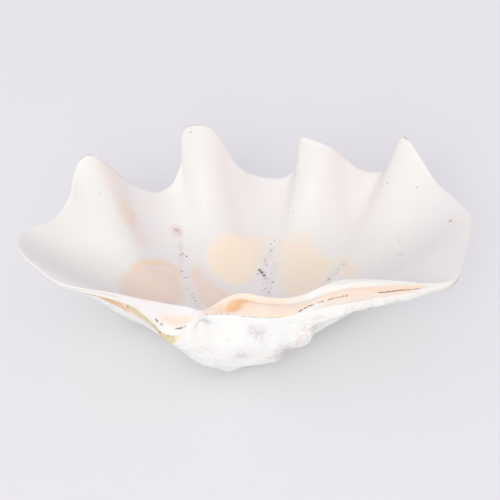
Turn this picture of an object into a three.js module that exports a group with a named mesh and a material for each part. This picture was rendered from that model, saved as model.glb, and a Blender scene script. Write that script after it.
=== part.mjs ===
// A giant clam shell: one left valve, lying on its outer side with the hollow up.
// Millimetres, +Z up. The hinge faces -Y, the four tongues of the margin face +Y.
// The shell is one grown piece, so it is one closed skin: the bowl from its deepest point
// to the rim, a band over the rim and the hinge plate, and the outer side back underneath.
import * as THREE from "three";

// Driving sizes
const SHELL_LENGTH = 400;
const RIM_THICKNESS = 2.5;
const RIM_ROUNDING = 1.2;
const BOWL_DEEPEST = [-10, -50, 21];
const BOWL_FLOOR = 11;
const BOWL_TILT = 0.14;
const PLATE_BACKING = 3;
const LIGAMENT_GROOVE_DEPTH = 2;
const SOCKET_DEPTH = 4;

// Wall thickness at even steps from the deepest point to the rim: on the tongues' side,
// on the flanks beside the hinge, and through the beak under the hinge
const WALL_BACK = [24, 20.5, 12.5, 6.5, 2.5];
const WALL_FLANK = [24, 13, 6, 4, 2.5];
const WALL_BEAK = [24, 28, 28, 23, 16];
const BEAK_BULGE = 0.25;

// The first tongue's ridge stays high in the bowl round this direction from its deepest
// point, in degrees from +X, over this spread
const FIRST_RIDGE = { angle: 146, spread: 13, lift: 0.35 };

// Each share grows from 0 to 1 between two directions seen from the deepest point. Those to
// the right are cosines. The others are sines, 1 straight towards the hinge, -1 towards the
// tongues. Where a pair's two numbers differ by side, the left's comes first.
const RIGHT_BETWEEN = [-0.4, 0.4];
const BEAK_SIDE = { middle: 0.75, spread: 0.25 };
const FRONT_BETWEEN = [0.35, 0.95];
const SIDEWAYS_BETWEEN = [-0.3, 0.6];
const RIGHT_FLANK_BETWEEN = [-0.3, 0.1];
const UNDER_HINGE_BETWEEN = [0, 0.3];
const FLANK_WALL_BETWEEN = [-0.35, 0.05];
const SAG_STARTS = [0.1, -0.05];
const SAG_ENDS = [-0.5, -0.75];
const BEAK_STARTS = [0, 0.1];
const BEAK_ENDS = [0.9, 0.6];
const LEFT_FLANK_WALL = 0.7;

// The profile's two control points, as shares of the way from the deepest point to the rim:
// the near one's way sideways and forward, and the far one's way out and up
const NEAR_SIDEWAYS = 0.56;
const NEAR_SIDEWAYS_RIGHT = { beside: 0.46, underHinge: 0.38 };
const NEAR_FORWARD = { towardsTongues: 0.26, towardsHinge: 0.95 };
const FAR_OUT = { straight: 0.76, sagging: 0.78, front: 1.03 };
const FAR_UP = { left: 0.92, right: 0.97, front: 0.5 };

// How far the folds of the rim soften on their way down and how late, and the wall's own
// softening
const FOLD_FADE = 34;
const FOLD_FADE_CURVE = 0.75;
const WALL_FADE = 70;
const RIM_FADE = 4;

// The outer side turns towards the band's edge from here up, and how late it turns
const LEAD_STARTS = 0.45;
const LEAD_CURVE = 2.5;

// The highest value that u * u * (1 - u) takes
const SAG_PEAK = 4 / 27;

// The mesh: steps round the rim, and rings across the bowl and across the band
const RIM_STEPS = 140;
const BOWL_RINGS = 14;
const BAND_RINGS = 4;

// The inner edge of the rim, clockwise from above, as x, y, z. On the lip and the hinge
// two more numbers give the plate outside it: how far it reaches out, and how far it drops.
const BYSSAL_LIP = [
  [-39, -105, 82, 5, 4],
  [-51, -103, 85, 14, 15],
  [-65, -101, 86, 18, 17],
  [-81, -97, 86, 12, 9],
  [-96, -92, 85, 4, 3],
  [-116, -84, 84, 2, 2],
  [-136, -78, 83, 1, 1],
];
const LEFT_END = [
  [-161, -69, 83, 0.5, 1],
  [-180, -52, 85, 0.5, 1],
  [-195, -34, 87, 0.5, 1],
  [-199, -21, 88, 0.5, 1],
  [-197, -3, 89],
  [-185, 10, 87],
  [-172, 21, 84],
];
const TONGUE_1 = [
  [-164, 32, 88],
  [-158, 40, 98],
  [-156, 51, 109],
  [-151, 57, 119],
  [-143, 59, 123],
  [-134, 61, 118],
  [-124, 66, 105],
];
const NOTCH_1 = [
  [-112, 74, 86],
  [-100, 81, 72],
  [-87, 88, 65],
  [-75, 93, 68],
];
const TONGUE_2 = [
  [-67, 101, 76],
  [-64, 107, 88],
  [-64, 110, 104],
  [-61, 111, 119],
  [-49, 109, 126],
  [-36, 109, 122],
  [-27, 111, 108],
];
const NOTCH_2 = [
  [-20, 109, 93],
  [-10, 109, 78],
  [4, 113, 66],
  [22, 114, 61],
  [35, 114, 64],
];
const TONGUE_3 = [
  [43, 118, 73],
  [46, 118, 91],
  [48, 113, 107],
  [54, 109, 113],
  [68, 101, 112],
  [81, 102, 102],
];
const NOTCH_3 = [
  [90, 103, 88],
  [102, 104, 77],
  [116, 106, 72],
  [125, 105, 76],
];
const TONGUE_4 = [
  [131, 104, 90],
  [135, 101, 108],
  [140, 97, 119],
  [146, 92, 116],
  [155, 82, 104],
];
const RIGHT_END = [
  [168, 65, 90],
  [184, 43, 87],
  [193, 21, 88],
  [192, 1, 88],
  [186, -25, 88],
  [179, -50, 88, 0.5, 1],
];
const HINGE = [
  [169, -75, 90, 2, 1],
  [150, -83, 93, 6, 3],
  [125, -86, 98, 14, 7],
  [96, -86, 100, 20, 10],
  [75, -88, 101, 23, 12],
  [60, -91, 97, 21, 11],
  [46, -95, 92, 18, 10],
  [30, -99, 91, 17, 10],
  [10, -100, 94, 18, 13],
  [-6, -98, 96, 19, 15],
  [-20, -101, 93, 15, 12],
  [-31, -105, 87, 9, 7],
];
const RIM = [
  ...BYSSAL_LIP,
  ...LEFT_END,
  ...TONGUE_1,
  ...NOTCH_1,
  ...TONGUE_2,
  ...NOTCH_2,
  ...TONGUE_3,
  ...NOTCH_3,
  ...TONGUE_4,
  ...RIGHT_END,
  ...HINGE,
];

// Across the plate, from 0 at the crest to 1: where its top ends and its outer edge begins,
// and the middle and half width of the ligament's groove and of the socket
const PLATE_TOP_ENDS = 0.75;
const GROOVE_ACROSS = [0.55, 0.13];
const SOCKET_ACROSS = [0.42, 0.24];

// The same two features along the hinge, as x: the socket's middle and half width, and
// where the groove fades in and out
const SOCKET_ALONG = [-22, 10];
const GROOVE_STARTS = [-25, 5];
const GROOVE_ENDS = [125, 150];

// A plate that reaches out this far counts as half plate and half thin rim
const HALF_PLATE_REACH = 6;

const { lerp, smoothstep, degToRad } = THREE.MathUtils;
const UP = new THREE.Vector3(0, 0, 1);
const POLE = new THREE.Vector3(...BOWL_DEEPEST);

// A bell curve, 1 at the middle.
const bell = (value, middle, spread) => Math.exp(-(((value - middle) / spread) ** 2));

// A value at a place from 0 to 1 along evenly spaced values.
function along(values, place) {
  const at = place * (values.length - 1);
  const below = Math.min(Math.floor(at), values.length - 2);
  return lerp(values[below], values[below + 1], at - below);
}

// A closed loop of vectors, softened over a length measured along the rim.
function softened(loop, fade, rimLength) {
  const spread = (fade * loop.length) / rimLength;
  if (spread < 0.1) return loop.map((v) => v.clone());
  const reach = Math.ceil(spread * 3);
  return loop.map((_, i) => {
    const sum = new THREE.Vector3();
    let total = 0;
    for (let k = -reach; k <= reach; k++) {
      const weight = Math.exp((-k * k) / (2 * spread * spread));
      sum.addScaledVector(loop.at((i + k + loop.length) % loop.length), weight);
      total += weight;
    }
    return sum.divideScalar(total);
  });
}

// The rim as evenly spaced points, with the plate's reach and drop at each.
function sampleRim() {
  const crestCurve = new THREE.CatmullRomCurve3(
    RIM.map(([x, y, z]) => new THREE.Vector3(x, y, z)),
    true,
  );
  const plateCurve = new THREE.CatmullRomCurve3(
    RIM.map(([, , , reach = 0, drop = 0]) => new THREE.Vector3(reach, drop, 0)),
    true,
    "catmullrom",
  );
  const crest = [];
  const plate = [];
  for (let i = 0; i < RIM_STEPS; i++) {
    const t = crestCurve.getUtoTmapping(i / RIM_STEPS);
    const { x: reach, y: drop } = plateCurve.getPoint(t);
    crest.push(crestCurve.getPoint(t));
    plate.push({ reach: Math.max(reach, 0), drop: Math.max(drop, 0) });
  }
  return { crest, plate, length: crestCurve.getLength() };
}

// The level direction that points away from the hollow at each point of the rim.
function outwardDirections({ crest, length }) {
  const tangents = crest.map((_, i) => {
    const next = crest[(i + 1) % RIM_STEPS];
    const last = crest.at(i - 1);
    return new THREE.Vector3(next.x - last.x, next.y - last.y, 0);
  });
  const soft = softened(tangents, RIM_FADE * 2, length);
  return soft.map((t) => new THREE.Vector3(-t.y, t.x, 0).normalize());
}

// Which shares a direction from the deepest point has, each from 0 to 1.
function bearing(to) {
  const angle = Math.atan2(to.y, to.x);
  const hinge = -Math.sin(angle);
  const right = smoothstep(Math.cos(angle), ...RIGHT_BETWEEN);
  const ridge = bell(angle, degToRad(FIRST_RIDGE.angle), degToRad(FIRST_RIDGE.spread));
  const sag = smoothstep(-hinge, -lerp(...SAG_STARTS, right), -lerp(...SAG_ENDS, right));
  return {
    right,
    deep: sag * (1 - FIRST_RIDGE.lift * ridge),
    front: smoothstep(hinge, ...FRONT_BETWEEN),
    sideways: smoothstep(hinge, ...SIDEWAYS_BETWEEN),
    rightFlank: right * smoothstep(hinge, ...RIGHT_FLANK_BETWEEN),
    underHinge: smoothstep(hinge, ...UNDER_HINGE_BETWEEN),
    flankWall: smoothstep(hinge, ...FLANK_WALL_BETWEEN) * lerp(LEFT_FLANK_WALL, 1, right),
    beak: smoothstep(hinge, lerp(...BEAK_STARTS, right), lerp(...BEAK_ENDS, right)),
    beakSide: bell(Math.cos(angle), BEAK_SIDE.middle, BEAK_SIDE.spread),
  };
}

// The two control points between the deepest point and a point of the rim. Towards the
// tongues the profile sags into a bowl, beside the hinge it rises straight, and under the
// hinge it turns up steeply behind the beak.
function profileControls(rimPoint) {
  const to = rimPoint.clone().sub(POLE);
  const { right, deep, front, sideways: turned, rightFlank, underHinge } = bearing(to);
  const { beside, underHinge: steep } = NEAR_SIDEWAYS_RIGHT;
  const sideways = lerp(NEAR_SIDEWAYS, lerp(beside, steep, underHinge), rightFlank);
  const forward = lerp(NEAR_FORWARD.towardsTongues, NEAR_FORWARD.towardsHinge, turned);
  const far = lerp(lerp(FAR_OUT.straight, FAR_OUT.sagging, deep), FAR_OUT.front, front);
  const flankHeight = POLE.z + to.z * lerp(FAR_UP.left, FAR_UP.right, right);
  const near = new THREE.Vector3(
    POLE.x + to.x * sideways,
    POLE.y + to.y * forward,
    POLE.z - to.y * forward * BOWL_TILT,
  );
  const beyond = new THREE.Vector3(
    POLE.x + to.x * far,
    POLE.y + to.y * far,
    lerp(lerp(flankHeight, BOWL_FLOOR, deep), POLE.z + to.z * FAR_UP.front, front),
  );
  return { near, beyond };
}

// The wall under the bowl at s, from 0 at the deepest point to 1 at the rim.
function wallThickness(rimPoint, s) {
  const { flankWall, beak, beakSide } = bearing(rimPoint.clone().sub(POLE));
  const wall = lerp(along(WALL_BACK, s), along(WALL_FLANK, s), flankWall);
  return lerp(wall, along(WALL_BEAK, s) * (1 + BEAK_BULGE * beakSide), beak);
}

// The bowl's rings from the deepest point, s = 0, to the rim, s = 1, with the wall's
// thickness under each point. Each ring follows a softer copy of the rim than the next.
function bowlRings({ crest, length }) {
  const rings = [];
  const walls = [];
  for (let j = 0; j <= BOWL_RINGS; j++) {
    const s = j / BOWL_RINGS;
    const rim = softened(crest, FOLD_FADE * (1 - s) ** FOLD_FADE_CURVE, length);
    rings.push(
      rim.map((point) => {
        const { near, beyond } = profileControls(point);
        return new THREE.CubicBezierCurve3(POLE, near, beyond, point).getPoint(s);
      }),
    );
    walls.push(rim.map((point) => wallThickness(point, s)));
  }
  return { rings, walls };
}

// The bowl's normals, which point up into the hollow.
function bowlNormals(rings) {
  const normals = rings.map((ring, j) =>
    ring.map((_, i) => {
      const round = ring[(i + 1) % RIM_STEPS].clone().sub(ring.at(i - 1));
      const higher = rings[Math.min(j + 1, BOWL_RINGS)][i];
      const across = higher.clone().sub(rings[Math.max(j - 1, 0)][i]);
      return round.cross(across).normalize();
    }),
  );
  const middle = new THREE.Vector3();
  normals[1].forEach((n) => middle.add(n));
  normals[0] = normals[0].map(() => middle.clone().normalize());
  return normals;
}

// The hinge plate's relief: the ligament's groove along its length, and the socket for the
// other valve's tooth beside the crest. place runs from 0 at the crest to 1.
function hingeRelief(x, place) {
  const grooveLength = smoothstep(x, ...GROOVE_STARTS) * (1 - smoothstep(x, ...GROOVE_ENDS));
  const groove = bell(place, ...GROOVE_ACROSS) * grooveLength;
  const socket = bell(x, ...SOCKET_ALONG) * bell(place, ...SOCKET_ACROSS);
  return LIGAMENT_GROOVE_DEPTH * groove + SOCKET_DEPTH * socket;
}

// How much of the band is plate, from 0 on the thin rim towards 1 on the broad hinge.
const plateShare = ({ reach }) => reach / (reach + HALF_PLATE_REACH);

// The band from the bowl's edge to the outer side's edge. A thin rim is rounded over; on
// the lip and the hinge it is a sloping plate with a blunt outer edge.
function bandRings(rim, rings, normals) {
  const out = outwardDirections(rim);
  const edgeStep = rim.crest.map((_, i) => {
    const downAndOut = out[i].clone().addScaledVector(UP, -RIM_THICKNESS);
    const through = normals[BOWL_RINGS][i].clone().multiplyScalar(-RIM_THICKNESS);
    return through.lerp(downAndOut, plateShare(rim.plate[i]));
  });
  const steps = softened(edgeStep, RIM_FADE, rim.length);
  const leads = softened(
    rim.crest.map((p, i) => p.clone().sub(rings[BOWL_RINGS - 1][i]).normalize()),
    RIM_FADE,
    rim.length,
  );
  const plateTops = rim.crest.map((p, i) => {
    const { reach, drop } = rim.plate[i];
    return p.clone().addScaledVector(out[i], reach).addScaledVector(UP, -drop);
  });
  const bands = [];
  for (let k = 1; k <= BAND_RINGS; k++) {
    const place = k / (BAND_RINGS + 1);
    bands.push(
      rim.crest.map((p, i) => {
        const share = plateShare(rim.plate[i]);
        const thin = p.clone().addScaledVector(steps[i], place);
        thin.addScaledVector(leads[i], RIM_ROUNDING * Math.sin(Math.PI * place));
        const wide = p.clone().lerp(plateTops[i], Math.min(1, place / PLATE_TOP_ENDS));
        const down = Math.max(0, place - PLATE_TOP_ENDS) / (1 - PLATE_TOP_ENDS);
        wide.addScaledVector(steps[i], down);
        const point = thin.lerp(wide, share);
        return point.addScaledVector(UP, -hingeRelief(p.x, place) * share ** 2);
      }),
    );
  }
  const edge = plateTops.map((top, i) => top.clone().add(steps[i]));
  return { bands, edge };
}

// The outer side: the bowl pushed out by the wall, led onto the band's edge near the rim,
// backed more thickly under the plate, and worn flat where the shell stands.
function outerRings(rim, rings, walls, normals, edge) {
  const pushed = rings.map((ring, j) => {
    const fade = WALL_FADE * (1 - j / BOWL_RINGS) + RIM_FADE;
    const push = normals[j].map((n, i) => n.clone().multiplyScalar(-walls[j][i]));
    return softened(push, fade, rim.length).map((p, i) => p.add(ring[i]));
  });
  return pushed.map((ring, j) => {
    const s = j / BOWL_RINGS;
    const lead = smoothstep(s, LEAD_STARTS, 1) ** LEAD_CURVE;
    const u = Math.max(0, 2 * s - 1);
    const sag = (PLATE_BACKING * u * u * (1 - u)) / SAG_PEAK;
    return ring.map((p, i) => {
      const gap = edge[i].clone().sub(pushed[BOWL_RINGS][i]);
      const point = p.clone().addScaledVector(gap, lead);
      point.z = Math.max(point.z - sag * plateShare(rim.plate[i]), 0);
      return point;
    });
  });
}

// One closed skin through all the rings, with a point at each end.
function closedSkin(first, rings, last) {
  const points = [first, ...rings.flat(), last];
  const at = (ring, i) => 1 + ring * RIM_STEPS + (i % RIM_STEPS);
  const faces = [];
  for (let i = 0; i < RIM_STEPS; i++) {
    faces.push(0, at(0, i + 1), at(0, i));
    for (let ring = 0; ring < rings.length - 1; ring++) {
      faces.push(at(ring, i), at(ring, i + 1), at(ring + 1, i + 1));
      faces.push(at(ring, i), at(ring + 1, i + 1), at(ring + 1, i));
    }
    faces.push(at(rings.length - 1, i), at(rings.length - 1, i + 1), points.length - 1);
  }
  const geometry = new THREE.BufferGeometry().setFromPoints(points);
  geometry.setIndex(faces);
  return geometry;
}

function valveGeometry() {
  const rim = sampleRim();
  const { rings, walls } = bowlRings(rim);
  const normals = bowlNormals(rings);
  const { bands, edge } = bandRings(rim, rings, normals);
  const outer = outerRings(rim, rings, walls, normals, edge);
  const underside = new THREE.Vector3();
  outer[0].forEach((p) => underside.addScaledVector(p, 1 / RIM_STEPS));
  const skin = [...rings.slice(1), ...bands, ...outer.slice(1).reverse()];
  return closedSkin(POLE, skin, underside);
}

// The shell at its full length, standing on z = 0 over the middle of its own box.
function placed(geometry) {
  geometry.computeBoundingBox();
  const size = geometry.boundingBox.getSize(new THREE.Vector3());
  const centre = geometry.boundingBox.getCenter(new THREE.Vector3());
  geometry.translate(-centre.x, -centre.y, -geometry.boundingBox.min.z);
  const scale = SHELL_LENGTH / size.x;
  geometry.scale(scale, scale, scale);
  geometry.computeVertexNormals();
  return geometry;
}

const chalkyShell = new THREE.MeshStandardMaterial({
  color: 0xf1ede6,
  roughness: 0.55,
  metalness: 0,
});
const valve = new THREE.Mesh(placed(valveGeometry()), chalkyShell);
valve.name = "valve";

const shell = new THREE.Group();
shell.add(valve);
export default shell;
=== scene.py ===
import math

import bmesh
import bpy
import numpy as np
from bpy.props import FloatProperty, FloatVectorProperty, PointerProperty
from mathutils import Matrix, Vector, noise


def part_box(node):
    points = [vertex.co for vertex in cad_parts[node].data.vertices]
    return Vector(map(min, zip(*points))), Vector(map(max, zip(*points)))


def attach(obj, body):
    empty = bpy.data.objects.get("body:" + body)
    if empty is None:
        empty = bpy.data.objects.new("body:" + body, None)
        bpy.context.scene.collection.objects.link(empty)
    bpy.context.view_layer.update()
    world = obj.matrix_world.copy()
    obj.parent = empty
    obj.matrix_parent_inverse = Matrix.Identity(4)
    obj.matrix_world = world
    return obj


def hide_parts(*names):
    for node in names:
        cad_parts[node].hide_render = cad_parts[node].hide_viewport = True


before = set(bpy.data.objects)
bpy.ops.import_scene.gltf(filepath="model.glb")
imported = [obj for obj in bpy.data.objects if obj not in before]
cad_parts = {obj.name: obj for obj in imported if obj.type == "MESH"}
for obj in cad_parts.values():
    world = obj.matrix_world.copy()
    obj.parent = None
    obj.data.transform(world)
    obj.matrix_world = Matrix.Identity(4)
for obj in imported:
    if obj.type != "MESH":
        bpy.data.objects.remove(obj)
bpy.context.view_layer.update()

bl_info = {
    "name": "Giant clam shell",
    "version": (1, 0, 0),
    "blender": (4, 5, 0),
    "location": "3D View > Sidebar > Clam shell",
    "description": "Grows the left valve of a giant clam and sets it on a pale studio floor",
    "category": "Object",
}

MM = 0.001

# The valve is worked out in millimetres, hinge towards -Y and tongues towards +Y, and moved
# onto the frame's own box at the end.
BOWL_DEEPEST = np.array([-10.0, -50.0, 21.0])
BOWL_FLOOR = 11.0
BOWL_TILT = 0.14
RIM_ROUNDING = 1.2
PLATE_BACKING = 3.0
PLATE_TOP_ENDS = 0.75
HALF_PLATE_REACH = 6.0

# Wall thickness at even steps from the deepest point to the rim
WALL_BACK = (24, 20.5, 12.5, 6.5, 2.5)
WALL_FLANK = (24, 13, 6, 4, 2.5)
WALL_BEAK = (24, 28, 28, 23, 16)
BEAK_BULGE = 0.25

# How far the rim's folds soften on their way down, and the wall's own softening
FOLD_FADE = 35.0
FOLD_FADE_CURVE = 0.45
WALL_FADE = 70.0
RIM_FADE = 4.0

# Where the bowl's shape changes, by the sine or cosine of the direction from its deepest
# point. Pairs that end in SIDES are for the left and the right.
RIGHT_BETWEEN = (-0.4, 0.4)
FRONT_BETWEEN = (0.35, 0.95)
SAG_STARTS_SIDES = (-0.1, 0.05)
SAG_ENDS_SIDES = (0.5, 0.75)
FIRST_RIDGE_ANGLE, FIRST_RIDGE_SPREAD, FIRST_RIDGE_LIFT = 146, 13, 0.35
FORWARD_BETWEEN = (-0.6, 0.3)
UNDER_HINGE_BETWEEN = (0, 0.3)
RIGHT_FLANK_BETWEEN = (-0.3, 0.1)
FLANK_WALL_BETWEEN = (-0.35, 0.05)
BEAK_STARTS_SIDES = (0, 0.1)
BEAK_ENDS_SIDES = (0.9, 0.6)
BEAK_SIDE, BEAK_SIDE_SPREAD = 0.75, 0.25

# How far the bowl's inner and outer handles reach, as shares of the way to the rim
NEAR_TOWARDS_HINGE, NEAR_TOWARDS_TONGUES = 0.95, 0.26
NEAR_SIDEWAYS, NEAR_RIGHT, NEAR_UNDER_HINGE = 0.56, 0.46, 0.38
FAR_STRAIGHT, FAR_SAGGING, FAR_FRONT = 0.76, 0.78, 1.03
FAR_UP_SIDES, FAR_UP_FRONT = (0.92, 0.97), 0.5
LEFT_FLANK_WALL = 0.7

# The outer side leans out to meet the rim's outer edge, past this share of the way up
LEAD_STARTS, LEAD_CURVE = 0.45, 2.5

# The rim is worked out at fine even steps, then meshed more closely on the hinge and lip
CURVE_STEPS = 24
RIM_SAMPLES = 1400
RIM_STEPS = 560
BOWL_RINGS = 76
BAND_RINGS = 24
HINGE_CLOSENESS = 0.7
CLOSENESS_FADE = 20

# Steps per corner of a mark's outline, and how many of them soften it
OUTLINE_STEPS = 4
OUTLINE_FADE = 1.8

# The rim's inner edge, clockwise from above: x, y, z, and the plate's reach and drop outside it
BYSSAL_LIP = (
    (-39, -105, 82, 5, 4), (-51, -103, 85, 14, 15), (-65, -101, 86, 17, 15),
    (-81, -97, 86, 10, 7.5), (-96, -92, 85, 4, 3), (-116, -84, 84, 2, 2), (-136, -78, 83, 1, 1),
)
LEFT_END = (
    (-161, -69, 83, 0.5, 1), (-180, -52, 85, 0.5, 1), (-195, -34, 87, 0.5, 1),
    (-199, -21, 87, 0.5, 1), (-197, -3, 85, 0, 0), (-186, 10, 83, 0, 0), (-173, 21, 81, 0, 0),
)
TONGUE_1 = (
    (-164, 32, 88, 0, 0), (-158, 40, 98, 0, 0), (-156, 51, 109, 0, 0), (-151, 57, 119, 0, 0),
    (-143, 59, 123, 0, 0), (-134, 61, 118, 0, 0), (-124, 66, 105, 0, 0),
)
NOTCH_1 = ((-112, 74, 85, 0, 0), (-99, 81, 71, 0, 0), (-85, 88, 62, 0, 0), (-74, 94, 65, 0, 0))
TONGUE_2 = (
    (-67, 101, 76, 0, 0), (-64, 107, 88, 0, 0), (-64, 110, 104, 0, 0), (-61, 111, 116, 0, 0),
    (-49, 109, 122, 0, 0), (-36, 109, 118, 0, 0), (-27, 111, 108, 0, 0),
)
NOTCH_2 = (
    (-20, 109, 93, 0, 0), (-10, 109, 77, 0, 0), (4, 113, 64, 0, 0), (22, 114, 59, 0, 0),
    (35, 114, 62, 0, 0),
)
TONGUE_3 = (
    (43, 118, 73, 0, 0), (45, 117, 92, 0, 0), (45, 113, 103, 0, 0), (47, 110, 108, 0, 0),
    (62, 104, 107, 0, 0), (75, 101, 102, 0, 0), (83, 102, 96, 0, 0),
)
NOTCH_3 = ((90, 103, 88, 0, 0), (102, 104, 77, 0, 0), (116, 106, 72, 0, 0), (125, 105, 76, 0, 0))
TONGUE_4 = (
    (130, 104, 90, 0, 0), (134, 101, 107, 0, 0), (138.5, 97, 117, 0, 0), (145, 92, 115, 0, 0),
    (155, 82, 104, 0, 0),
)
RIGHT_END = (
    (168, 65, 90, 0, 0), (184, 43, 87, 0, 0), (193, 21, 88, 0, 0), (192, 1, 88, 0, 0),
    (186, -25, 88, 0, 0), (179, -50, 88, 0.5, 1),
)
HINGE = (
    (169, -75, 90, 2, 1), (150, -83, 93, 6, 3), (125, -86, 98, 14, 7), (96, -86, 100, 20, 10),
    (75, -88, 101, 23, 12), (60, -91, 97, 21, 11), (46, -95, 92, 18, 10), (30, -99, 91, 17, 10),
    (10, -100, 94, 18, 13), (-6, -98, 96, 19, 15), (-20, -101, 93, 15, 12), (-31, -105, 87, 9, 7),
)
RIM = (
    BYSSAL_LIP + LEFT_END + TONGUE_1 + NOTCH_1 + TONGUE_2 + NOTCH_2 + TONGUE_3 + NOTCH_3 + TONGUE_4
    + RIGHT_END + HINGE
)

# Marks inside the bowl, seen from above, as x, y outlines: the muscle's scar, and the patches
# that the mantle stained peach. The first patch has a crackled orange margin.
MUSCLE_SCAR = (
    (-41, 38), (-36, 48), (-29, 53), (-19, 59), (-10, 60), (-2, 55), (3, 44), (2, 28), (-3, 11),
    (-11, 3), (-23, 8), (-34, 18),
)
SCAR_MIDDLE = (-19, 35)
CRACKLED_STAIN = (
    (-116, -17), (-116, -8), (-109, 0), (-103, 5), (-93, 14), (-83, 24), (-74, 27), (-67, 24),
    (-64, 13), (-60, -4), (-54, -20), (-75, -38), (-104, -36),
)
MIDDLE_STAIN = (
    (-56, 24), (-46, 30), (-40, 20), (-26, 4), (-16, -1), (-20, -22), (-40, -30), (-50, -10),
    (-55, 11),
)
PALE_STAINS = (
    ((27, 33), (27, 51), (32, 57), (39, 55), (47, 53), (55, 49), (61, 45), (70, 39), (77, 33),
     (74, 20), (64, 7), (48, -10), (36, -14), (28, -2), (28, 18)),
    ((80, 18), (81, 31), (87, 34), (93, 26), (97, 18), (97, 7), (88, 5)),
    ((-8, 54), (4, 62), (14, 59), (16, 49), (11, 37), (2, 20), (-4, 10)),
)

# Marks beside an outline, as mm inside it and spread: the scar's halo, and the two rings of
# the first patch's crackled margin
SCAR_HALO, CRACKLE_RING, CRAZE_RING = (-7, 5), (1.5, 4.5), (7, 3.5)

# The scar's margin in mm, sharp at the lower left and soft at the upper right, and the side
# of the first patch on which its margin is crackled: a place on it, its slant and its fade
SCAR_MARGIN, SCAR_TURN, HALO_TURN = (1.3, 9), (-0.5, 0.8), (-0.2, 0.5)
UPPER_RIGHT = np.array([0.5, 0.85])
CRACKLE_PLACE, CRACKLE_SLANT, CRACKLE_FADE = (-85, -16), 0.4, (8, 36)

# Lines inside the bowl, as x, y: furrows that hold dirt, the first ridge's warm right side, and
# the right sides of the second and third ridges, where shade is painted into the colour
FURROWS = (
    ((-65, 52), (-64, 39), (-62, 25), (-58, 9), (-52, -11), (-46, -25)),
    ((20, 50), (15, 37), (12, 21), (15, 6), (12, -10)),
    ((22, 30), (20, 12), (16, -8)),
    ((87, 28), (80, 21), (73, 12), (62, -5)),
)
FURROW_BEDS = (
    ((-64, 28), (-59, 28), (-51, 6), (-41, -26), (-57, -34), (-60, -8)),
    ((11, 32), (18, 36), (22, 30), (23, 10), (19, -14), (1, -14), (6, 8), (9, 20)),
)
FIRST_FLANK = ((-131, 61), (-125, 58), (-119, 56), (-114, 52), (-108, 44), (-101, 35))
# painted shade on the right sides of the second and third ridges, which face away from the key
# light
SHADED_RIGHT_FLANKS = (((-26, 103), (-18, 83), (-11, 62)), ((81, 101), (87, 86), (89, 71)))

# Single marks inside the bowl, as x, y: a red graze and the warmest place beside the first
# ridge, with spreads in mm, and pale scratches from end to end, each drawn as a row of dots
GRAZE, GRAZE_SPREAD = (-68, 62), 6
BLUSH, BLUSH_SPREAD = (-110, 47), 11
SCRATCHES = (((138, 40), (142, 21)), ((137, 18), (142, 11)), ((167, 10), (163, -19)))
SCRATCH_STEPS = 7

# Painted lilac shade in the folds, as x, y: the left end's trough, the troughs between the ridges,
# the hollows of the right end, the lip, and the floor behind the hinge plate. This colour stands
# in for shade, not for a tint of the shell.
SHADED_FOLDS = (
    ((-195, -24), (-165, -38), (-130, -46), (-100, -48)),
    ((-104, 78), (-92, 55), (-80, 30)),
    ((-22, 100), (-14, 80), (-6, 60), (14, 104)),
    ((84, 98), (90, 84), (96, 66), (108, 96)),
    ((110, -20), (140, -5), (172, 10), (178, 45)),
    ((100, -50), (140, -50), (176, -40)),
    ((-130, -80), (-90, -92), (-60, -103)),
    ((-60, -50), (-20, -50), (8, -44), (40, -40), (75, -24)),
)

# Grey smudges and rusty cracks on the beak, as x, y, z and radius
SMUDGES = ((6, -121, 72, 6), (31, -113, 46, 13), (-8, -121, 48, 5))
RUST_CRACKS = ((51, -112, 71, 9), (17, -119, 43, 5), (42, -116, 62, 7))

# Lumps and hollows worn into the beak, as x, y, z, radius and height
BEAK_LUMPS = (
    (8, -104, 18, 14, -6.5), (-18, -104, 16, 8, 2.5), (-14, -119, 58, 9, 1.5),
    (46, -110, 57, 10, 5), (88, -69, 49, 11, -5), (71, -68, 35, 8, -2.5),
)

# Where the outer side is worn: lumps and growth steps with sizes in mm and shares of the way
# up, the plain margin along its edge, and the beak, which has hardly any steps left
LUMP_SIZE, FINE_LUMP_SIZE, FINE_LUMP_SHARE, LUMPS_START = 26, 8, 0.45, (0, 0.2)
GROWTH_SPACING, GROWTH_RISE, STEPS_START = 11.0, 0.85, (0.15, 0.5)
WAVER, WAVER_LENGTH = 5, 60
PLAIN_MARGIN = 6
BEAK_MIDDLE, BEAK_WIDTH, BEAK_BETWEEN, BEAK_WEAR = 5, 60, (-60, -100), 0.8

# The plate's ragged edge and the uneven rim: sizes in mm, and shares
CHIP_SIZE, FINE_CHIP_SIZE, FINE_CHIP_SHARE = 13, 4.5, 0.45
UNEVEN_SIZE, UNEVEN_SHARE = 14, 0.2

# The ligament's groove: its place across the hinge plate at the left, in the middle and at the
# right, where along x it turns from one to the next, and where it starts and ends
GROOVE_PLACES, GROOVE_TURNS = (0.74, 0.88, 0.5), ((-25, -5), (24, 50))
GROOVE_DEPTH, GROOVE_WIDTH, GROOVE_MARGIN = 1.4, 0.035, 0.02
GROOVE_STARTS, GROOVE_ENDS = (-25, 5), (125, 150)

# The sunken ledge outside the groove
LEDGE_DEPTH, LEDGE_FALL, LEDGE_RISE = 1.4, 0.05, (0.7, 0.8)
LEDGE_STARTS, LEDGE_ENDS = (30, 50), (130, 150)

# Forms along the hinge plate, as height in mm, place across it, width there, and where along x
# they start and end: the socket, the swelling beside it, the tooth and the furrow beside it
HINGE_FORMS = (
    (-4.2, 0.2, 0.1, (-20, 0), (45, 70)),
    (1.5, 0.56, 0.18, (-14, 0), (35, 55)),
    (1.6, 0.14, 0.09, (48, 66), (95, 118)),
    (-0.9, 0.31, 0.035, (48, 66), (95, 118)),
)

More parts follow.
